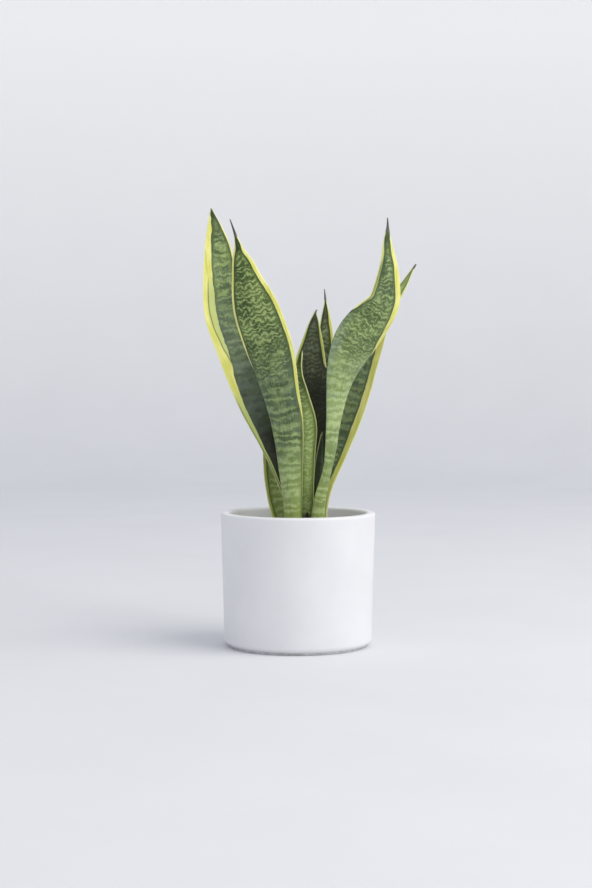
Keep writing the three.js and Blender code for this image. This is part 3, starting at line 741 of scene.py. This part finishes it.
def leaf_skin(name, painted_shade_darkest, deep, middle, light, pale_green, bloom_and_sheen_colour):
    """The skin of a variegated leaf, from its greens, its painted shade and the blue-grey of its
    waxy bloom and painted sheen.
    """
    material, tree = new_material(name)
    blade, *others = [
        add_node(tree, "Attribute", attribute_name=name).outputs["Vector"] for name in ATTRIBUTES
    ]
    across, along, _ = add_node(tree, "SeparateXYZ", [blade]).outputs
    split = [add_node(tree, "SeparateXYZ", [vector]).outputs for vector in others]
    (from_left, from_right, from_awl), (left, right, streak_and_edge_shade) = split[:2]
    (fade, green_margin, painted_sheen), (pale_and_painted_shade, broad, bloom_and_reflection) = split[2:]

    # Crossbands: zigzags about 10 mm from peak to peak and 5 mm apart in the upper leaf, and
    # soft waves about 9 mm apart in the lower one, both broken up by the leaf's own mottling.
    drift = add_node(tree, "Math SUBTRACT", [
        add_node(tree, "TexNoise", {
            "Vector": add_node(tree, "VectorMath MULTIPLY", [blade, (0.5, 1, 1)]),
            "Scale": 1 / 15, "Detail": 2.0,
        }), 0.5,
    ])
    shiver = add_node(tree, "Math SUBTRACT", [
        add_node(tree, "TexNoise", {"Vector": blade, "Scale": 1 / 3.4, "Detail": 3.0}), 0.5
    ])
    sideways = add_node(tree, "Math MULTIPLY_ADD", [drift, BAND_DRIFT, across])
    zigzag = add_node(tree, "Math PINGPONG", [sideways, PEAK_HALF])
    lift = add_node(tree, "Math MULTIPLY_ADD", [zigzag, 0.6, along])
    lift = add_node(tree, "Math MULTIPLY_ADD", [drift, BAND_DRIFT, lift])
    lift = add_node(tree, "Math MULTIPLY_ADD", [shiver, 5.0, lift])
    fine_wave = add_node(
        tree, "Math SINE", [add_node(tree, "Math MULTIPLY", [lift, 2 * math.pi / BAND_SPACING])]
    )
    wide_lift = add_node(tree, "Math MULTIPLY_ADD", [zigzag, 0.25, along])
    wide_lift = add_node(tree, "Math MULTIPLY_ADD", [drift, BROAD_DRIFT, wide_lift])
    wide_lift = add_node(tree, "Math MULTIPLY_ADD", [shiver, 4.0, wide_lift])
    wide_wave = add_node(tree, "Math SINE", [
        add_node(tree, "Math MULTIPLY", [wide_lift, 2 * math.pi / BROAD_SPACING])
    ])
    stipple = add_node(
        tree, "TexNoise", {"Vector": blade, "Scale": 1 / 1.4, "Detail": 2.0, "Roughness": 0.6}
    )
    dashes = add_node(tree, "TexNoise", {
        "Vector": add_node(tree, "VectorMath MULTIPLY", [blade, (0.8, 1, 1)]), "Scale": 1 / 3.2,
        "Detail": 2.0,
    })
    cluster = add_node(tree, "TexNoise", {"Vector": blade, "Scale": 1 / 17, "Detail": 1.0})
    fine = add_node(tree, "Math MULTIPLY_ADD", [stipple, 4.5, fine_wave])
    fine = add_node(tree, "Math MULTIPLY_ADD", [dashes, 4.0, fine])
    fine = add_node(tree, "Math MULTIPLY_ADD", [cluster, 2.6, fine])
    fine = add_node(tree, "MapRange SMOOTHSTEP", [fine, 5.1, 7.0])
    wide = add_node(tree, "Math MULTIPLY_ADD", [stipple, 3.0, wide_wave])
    wide = add_node(tree, "Math MULTIPLY_ADD", [dashes, 2.6, wide])
    wide = add_node(tree, "Math MULTIPLY_ADD", [cluster, 2.0, wide])
    wide = add_node(tree, "MapRange SMOOTHSTEP", [wide, 3.1, 5.4])

    # Distance inside the green, from the nearer margin, whose inner line wanders a little.
    wander = add_node(tree, "Math MULTIPLY", [
        add_node(tree, "Math SUBTRACT", [
            add_node(tree, "TexNoise", {
                "Vector": add_node(tree, "VectorMath MULTIPLY", [blade, (1, 0.5, 1)]),
                "Scale": 1 / 5, "Detail": 3.0,
            }), 0.5,
        ]), 0.9,
    ])
    wander_left = add_node(
        tree, "Math MULTIPLY", [wander, add_node(tree, "Math MULTIPLY", [left, 0.3])]
    )
    wander_right = add_node(
        tree, "Math MULTIPLY", [wander, add_node(tree, "Math MULTIPLY", [right, 0.3])]
    )
    inside_left = add_node(
        tree, "Math SUBTRACT", [add_node(tree, "Math SUBTRACT", [from_left, left]), wander_left]
    )
    inside_right = add_node(tree, "Math SUBTRACT", [
        add_node(tree, "Math SUBTRACT", [from_right, right]), wander_right
    ])
    inside = add_node(tree, "Math MINIMUM", [inside_left, inside_right])
    open_face = add_node(tree, "MapRange SMOOTHSTEP", [inside, 0.4, 5.0])

    mottle = add_node(
        tree, "TexNoise", {"Vector": blade, "Scale": 1 / 2.2, "Detail": 4.0, "Roughness": 0.65}
    )
    ground = add_node(tree, "Mix RGBA", {
        0: add_node(tree, "MapRange SMOOTHSTEP", [mottle, 0.35, 0.68]), 6: deep, 7: middle
    })
    # Painted shade: where the paleness is below zero, the face goes over to the darkest green and
    # its crossbands are muted.
    ground = add_node(tree, "Mix RGBA", {
        0: add_node(tree, "MapRange SMOOTHSTEP", [pale_and_painted_shade, 0.0, -1.0]), 6: ground, 7: painted_shade_darkest
    })
    ground = add_node(tree, "Mix RGBA", {
        0: add_node(tree, "MapRange SMOOTHSTEP", [pale_and_painted_shade, 0.0, 1.0, 0.0, 0.78]), 6: ground,
        7: pale_green,
    })
    shy = add_node(tree, "MapRange SMOOTHSTEP", [pale_and_painted_shade, -0.9, 0.1, 0.04, 1.0])
    lighter = add_node(tree, "Math MULTIPLY", [
        add_node(tree, "MapRange SMOOTHSTEP", [cluster, 0.42, 0.62, 0.0, 0.15]), shy
    ])
    ground = add_node(tree, "Mix RGBA", {0: lighter, 6: ground, 7: pale_green})
    lights = add_node(tree, "Math MULTIPLY", [open_face, shy])
    light = add_node(tree, "Mix RGBA", {
        0: add_node(tree, "MapRange SMOOTHSTEP", [pale_and_painted_shade, 0.1, 1.0]), 6: light, 7: "#C9DC9C"
    })
    banded = add_node(tree, "Mix RGBA", {
        0: add_node(tree, "Math MULTIPLY", [fine, lights]), 6: ground, 7: light
    })
    waved = add_node(tree, "Mix RGBA", {
        0: add_node(
            tree, "Math MULTIPLY", [add_node(tree, "Math MULTIPLY", [wide, lights]), 0.9]
        ), 6: ground, 7: light,
    })
    green = add_node(tree, "Mix RGBA", {0: broad, 6: banded, 7: waved})
    border = add_node(tree, "MapRange SMOOTHSTEP", [inside, 3.2, 0.2, 0.0, 0.5])
    green = add_node(tree, "Mix RGBA", {0: border, 6: green, 7: deep})
    # Blue-grey over the face: partly the wax's own bloom and partly painted reflection of the
    # pale room, with painted sheen along the left side.
    painted_left_sheen = add_node(tree, "Math MULTIPLY", [
        painted_sheen, add_node(tree, "MapRange SMOOTHSTEP", [from_left, 16.0, 1.0])
    ])
    bloom_and_painted_sheen = add_node(tree, "Math MAXIMUM", [bloom_and_reflection, painted_left_sheen])
    bloom_and_painted_sheen = add_node(tree, "Math MULTIPLY", [
        bloom_and_painted_sheen,
        add_node(tree, "MapRange SMOOTHSTEP", [
            add_node(tree, "TexNoise", {
                "Vector": add_node(tree, "VectorMath MULTIPLY", [blade, (0.5, 1.3, 1)]),
                "Scale": 1 / 9, "Detail": 3.0,
            }), 0.3, 0.7, 0.35, 1.0,
        ]),
    ])
    green = add_node(
        tree, "Mix RGBA", {0: add_node(tree, "Math MULTIPLY", [bloom_and_painted_sheen, 0.6]), 6: green, 7: bloom_and_sheen_colour}
    )
    fibre = add_node(tree, "TexNoise", {
        "Vector": add_node(tree, "VectorMath MULTIPLY", [blade, (1, 0.03, 1)]), "Scale": 1 / 0.9,
        "Detail": 2.0,
    })
    green = add_node(tree, "Mix RGBA", {
        0: add_node(tree, "Math MULTIPLY", [
            add_node(tree, "MapRange SMOOTHSTEP", [fibre, 0.5, 0.75, 0.0, 0.2]), shy
        ]), 6: green, 7: pale_green,
    })
    green = add_node(tree, "Mix RGBA", {
        0: add_node(tree, "MapRange SMOOTHSTEP", [fibre, 0.5, 0.25, 0.0, 0.28]), 6: green,
        7: deep,
    })

    # Yellow margin: butter yellow, greener near the soil, with hair-thin green streaks.
    hair = add_node(tree, "TexNoise", {
        "Vector": add_node(tree, "VectorMath MULTIPLY", [blade, (1, 0.022, 1)]),
        "Scale": 1 / 1.1, "Detail": 2.0,
    })
    butter = add_node(tree, "Mix RGBA", {
        0: add_node(tree, "MapRange SMOOTHSTEP", [
            add_node(tree, "TexNoise", {
                "Vector": add_node(tree, "VectorMath MULTIPLY", [blade, (1, 0.3, 1)]),
                "Scale": 1 / 6, "Detail": 3.0,
            }), 0.35, 0.65,
        ]), 6: "#DAD76C", 7: "#E9E68D",
    })
    butter = add_node(tree, "Mix RGBA", {
        0: add_node(tree, "Math MULTIPLY", [green_margin, 0.8]), 6: butter, 7: "#A2B84C"
    })
    butter = add_node(tree, "Mix RGBA", {
        0: add_node(tree, "MapRange SMOOTHSTEP", [hair, 0.56, 0.68, 0.0, 0.45]), 6: butter,
        7: "#A2B04C",
    })
    left_half = add_node(
        tree, "MapRange", [add_node(tree, "Math SUBTRACT", [from_right, from_left])]
    )
    fade = add_node(tree, "Math MULTIPLY", [fade, left_half])
    past_streak = add_node(
        tree, "Math SUBTRACT", [add_node(tree, "Math SUBTRACT", [from_left, streak_and_edge_shade]), wander]
    )
    inner_band = add_node(tree, "Math MULTIPLY", [
        add_node(tree, "MapRange SMOOTHSTEP", [past_streak, 0.0, 1.5]), fade
    ])
    butter = add_node(tree, "Mix RGBA", {
        0: add_node(tree, "Math MULTIPLY", [inner_band, 0.6]), 6: butter, 7: "#A8BC7C"
    })
    # Painted highlight: the outermost millimetre of each edge is lightened to pale cream, as
    # light caught on the rounded edge.
    painted_highlight_edge = add_node(tree, "Math MINIMUM", [from_left, from_right])
    butter = add_node(tree, "Mix RGBA", {
        0: add_node(tree, "MapRange SMOOTHSTEP", [painted_highlight_edge, 1.3, 0.1, 0.0, 0.6]), 6: butter,
        7: "#F3F2C0",
    })
    # Painted shade: low on the back left leaf the streak lies at the very edge, as a dark line
    # for the shade on the rolled edge; elsewhere it is the leaf's own green streak.
    streak_and_edge_shade_line = add_node(tree, "Math MULTIPLY", [
        add_node(tree, "MapRange SMOOTHSTEP", [
            add_node(tree, "Math ABSOLUTE", [past_streak]), 1.2, 0.4
        ]), fade,
    ])
    butter = add_node(tree, "Mix RGBA", {
        0: add_node(tree, "Math MULTIPLY", [streak_and_edge_shade_line, 0.85]), 6: butter, 7: "#66784A"
    })
    in_margin = add_node(tree, "MapRange SMOOTHSTEP", [inside, 0.3, -0.3])
    skin = add_node(tree, "Mix RGBA", {0: in_margin, 6: green, 7: butter})

    # The awl at the tip is dead, dry tissue: grey-brown and fibrous.
    dry = add_node(tree, "Mix RGBA", {
        0: add_node(tree, "MapRange SMOOTHSTEP", [fibre, 0.35, 0.65]), 6: "#45443C", 7: "#7D786B"
    })
    ragged = add_node(tree, "Math MULTIPLY_ADD", [hair, 5.0, from_awl])
    skin = add_node(tree, "Mix RGBA", {
        0: add_node(tree, "MapRange SMOOTHSTEP", [ragged, 5.0, 0.5]), 6: skin, 7: dry
    })

    height = add_node(tree, "Math MULTIPLY_ADD", [
        fibre, 0.7,
        add_node(tree, "TexNoise", {
            "Vector": add_node(tree, "VectorMath MULTIPLY", [blade, (1, 0.5, 1)]),
            "Scale": 1 / 0.7, "Detail": 2.0,
        }),
    ])
    height = add_node(tree, "Math MULTIPLY_ADD", [wide_wave, 0.25, height])
    bump = add_node(tree, "Bump", {"Height": height, "Distance": 0.08 * MM, "Strength": 0.5})
    rough = add_node(
        tree, "Math MULTIPLY_ADD", [add_node(tree, "Math SUBTRACT", [mottle, 0.5]), 0.25, 0.46]
    )
    rough = add_node(tree, "Math MULTIPLY_ADD", [bloom_and_painted_sheen, 0.1, rough])
    shader = add_node(tree, "BsdfPrincipled", {
        "Base Color": skin, "Normal": bump, "Roughness": rough, "IOR": CUTICLE_IOR,
        "Specular IOR Level": 0.3,
    })
    add_node(tree, "OutputMaterial", [shader])
    return material


# Living leaf skin: a waxy cuticle over dark green, with paler crossbands. The light from the
# side gives it a soft, wide sheen. Its blue-grey is partly the wax's own bloom and partly a
# painted reflection of the pale room, with a painted sheen along the left side.
leaf_green = leaf_skin(
    "waxy_leaf_skin", "#10190D", "#324520", "#506635", "#A3B673", "#AAC068", "#8B9E92"
)

# The same skin made nearly black-green for the two leaves at the centre back: partly their own
# darker green, and partly painted shade for the shade they stand in among the other leaves.
shade_green = leaf_skin(
    "shaded_leaf_skin", "#191D15", "#2A2F21", "#454A39", "#6E765C", "#65743F", "#6A7068"
)

for seed, leaf in enumerate(LEAVES, start=1):
    shaded = leaf["name"] in ("leaf_centre", "leaf_centre_back")
    place_piece(
        leaf["name"] + "_blade", build_leaf(leaf, seed), shade_green if shaded else leaf_green,
        [leaf["name"]],
    )


# ------------------------------------------------------------------------------------------
# Rhizome. The fleshy creeping stem under the soil that every leaf grows from. It keeps the
# CAD model's shape, and its skin is orange-brown with the scars of old scales round it.
SCAR_SPACING = 22
rhizome_skin, tree = new_material("rhizome_skin")
coords = add_node(tree, "TexCoord").outputs["Object"]
scars = add_node(tree, "TexWave", {
    "Vector": coords, "Scale": 1 / (SCAR_SPACING * MM), "Distortion": 3.0, "Detail": 3.0,
})
blotch = add_node(tree, "TexNoise", {"Vector": coords, "Scale": 1 / (5 * MM), "Detail": 5.0})
orange = add_node(tree, "ValToRGB", [blotch], stops=[(0.35, "#A8702F"), (0.65, "#D79C55")])
scar = add_node(tree, "MapRange", [scars.outputs["Fac"], 0.75, 0.95, 0.0, 0.7])
skin = add_node(tree, "Mix RGBA", {0: scar, 6: orange, 7: "#5F3D1E"})
bump = add_node(
    tree, "Bump", {"Height": scars.outputs["Fac"], "Distance": 0.4 * MM, "Strength": 0.5}
)
shader = add_node(tree, "BsdfPrincipled", {"Base Color": skin, "Normal": bump, "Roughness": 0.6})
add_node(tree, "OutputMaterial", [shader])
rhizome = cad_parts["rhizome"]
rhizome.data.materials.clear()
rhizome.data.materials.append(rhizome_skin)


# ------------------------------------------------------------------------------------------
# Dry sheath. The papery brown scale that once wrapped a young shoot. It stands dead between
# the feet of the two front leaves, curled round its own length and ragged at the top.
SHEATH_PLACE = (8.8, -12.8)
SHEATH_WIDTH = 5.6
SHEATH_THICKNESS = 1.2
SHEATH_HEIGHT = 20.0
SHEATH_FOOT = 5.0
SHEATH_CURL = 1.1
SHEATH_FOOT_TRIM = 1.5
SHEATH_TOP_TRIM = 2.0
SHEATH_RINGS = 24
SHEATH_SIDES = 28

sheath_low = SOIL_LEVEL - SHEATH_FOOT + SHEATH_FOOT_TRIM
sheath_top = SOIL_LEVEL + SHEATH_HEIGHT - SHEATH_TOP_TRIM
bm = bmesh.new()
for vert, (i, angle) in ring_tube(bm, SHEATH_SIDES, SHEATH_RINGS).items():
    share = i / SHEATH_RINGS
    wide = SHEATH_WIDTH / 2 * (1 - 0.45 * ease(share, 0.3, 1.0))
    thick = SHEATH_THICKNESS / 2 * (1 - 0.5 * share)
    u = math.cos(angle)
    curl = SHEATH_CURL * u * u * (1 - 0.3 * share) - 0.5
    frayed = noise.noise(Vector((u * 3.0, 0.0, 5.0))) * 1.6 * ease(share, 0.6, 1.0)
    crinkle = noise.noise(Vector((u * 2.0, share * 6, 8.0))) * 0.22
    vert.co = Vector((
        SHEATH_PLACE[0] + wide * u,
        SHEATH_PLACE[1] + thick * math.sin(angle) - curl * 0.8 + crinkle + 0.3,
        sheath_low + (sheath_top - sheath_low) * share + frayed,
    )) * MM
bmesh.ops.recalc_face_normals(bm, faces=bm.faces)

# Dead leaf scale: brittle, fibrous, near-black brown with tan along its fibres; its near-black
# is partly painted shade for the dark gap between the leaf feet.
scale_skin, tree = new_material("dead_leaf_scale")
coords = add_node(tree, "TexCoord").outputs["Object"]
drawn_out = add_node(tree, "Mapping", {0: coords, "Scale": (1, 1, 0.08)})
fibre = add_node(tree, "TexNoise", {
    "Vector": drawn_out, "Scale": 1 / (0.5 * MM), "Detail": 4.0, "Roughness": 0.6
})
tan = add_node(
    tree, "ValToRGB", [fibre], stops=[(0.35, "#14100B"), (0.6, "#2A2018"), (0.8, "#59452F")]
)
bump = add_node(tree, "Bump", {"Height": fibre, "Distance": 0.15 * MM, "Strength": 0.7})
shader = add_node(tree, "BsdfPrincipled", {"Base Color": tan, "Normal": bump, "Roughness": 0.8})
add_node(tree, "OutputMaterial", [shader])
place_piece("dry_sheath_scale", bm, scale_skin, ["dry_sheath"])


# ------------------------------------------------------------------------------------------
# Studio. A plain pale sweep that the pot stands on, lit by one large soft light from the
# front right and above, with the room's even light filling in.
SWEEP_FLAT = 2.3
SWEEP_WALL = 3.4
SWEEP_HEIGHT = 1.9
SWEEP_STEPS = 96
ROOM_COLOUR = "#ECEEF4"
ROOM_LIGHT = 0.75
KEY_PLACE = (1.85, -0.95, 2.3)
KEY_TARGET = (0, 0, 0.2)
KEY_SIZE = 2.5
KEY_POWER = 60
KEY_COLOUR = "#FFFCF6"
CAMERA_PLACE = (-0.0019, -1.75, 0.274)
CAMERA_DOWN = 2.55
CAMERA_LENS = 73.14

profile = [(0, 0), (SWEEP_FLAT, 0)]
bend = SWEEP_WALL - SWEEP_FLAT
profile += [
    (SWEEP_FLAT + bend * math.sin(a), bend * (1 - math.cos(a)))
    for a in (math.radians(90 * i / 16) for i in range(1, 17))
]
profile += [(SWEEP_WALL, SWEEP_HEIGHT)]
bm = bmesh.new()
turn_profile(bm, profile, SWEEP_STEPS)
mesh = bpy.data.meshes.new("studio_sweep")
bm.to_mesh(mesh)
bm.free()
mesh.shade_smooth()

# Matt painted board: a cool pale grey with the faintest unevenness of rolled paint. Up the wall
# it is painted lighter, toward white, as painted light where the lamps leave the wall dim.
paint, tree = new_material("matt_painted_board")
coords = add_node(tree, "TexCoord").outputs["Object"]
rolled = add_node(tree, "TexNoise", {"Vector": coords, "Scale": 1 / 0.18, "Detail": 4.0})
tone = add_node(tree, "ValToRGB", [rolled], stops=[(0.3, "#DCDEE2"), (0.7, "#DFE1E5")])
height = add_node(tree, "SeparateXYZ", [coords]).outputs[2]
# Painted light: the board gets lighter up the wall, toward white.
painted_light_up_wall = add_node(tree, "MapRange", [height, 0.0, 1.2])
painted_light_board = add_node(tree, "Mix RGBA", {0: painted_light_up_wall, 6: tone, 7: "#FEFEFE"})
shader = add_node(tree, "BsdfPrincipled", {
    "Base Color": painted_light_board, "Roughness": 0.8, "Specular IOR Level": 0.2
})
add_node(tree, "OutputMaterial", [shader])
mesh.materials.append(paint)
sweep = bpy.data.objects.new("studio_sweep", mesh)
bpy.context.scene.collection.objects.link(sweep)
sweep.visible_shadow = False

world = bpy.data.worlds.new("studio_room")
world.use_nodes = True
world.node_tree.nodes["Background"].inputs[0].default_value = linear(ROOM_COLOUR)
world.node_tree.nodes["Background"].inputs[1].default_value = ROOM_LIGHT
bpy.context.scene.world = world

lamp = bpy.data.lights.new("key_light", "AREA")
lamp.size = KEY_SIZE
lamp.energy = KEY_POWER
lamp.color = linear(KEY_COLOUR)[:3]
key_light = bpy.data.objects.new("key_light", lamp)
key_light.location = KEY_PLACE
aim = Vector(KEY_TARGET) - Vector(KEY_PLACE)
key_light.rotation_euler = aim.to_track_quat("-Z", "Y").to_euler()
bpy.context.scene.collection.objects.link(key_light)

camera_data = bpy.data.cameras.new("camera")
camera_data.lens = CAMERA_LENS
camera = bpy.data.objects.new("camera", camera_data)
camera.location = CAMERA_PLACE
camera.rotation_euler = (math.radians(90 - CAMERA_DOWN), 0, 0)
bpy.context.scene.collection.objects.link(camera)
bpy.context.scene.camera = camera
bpy.context.scene.view_settings.view_transform = "Standard"
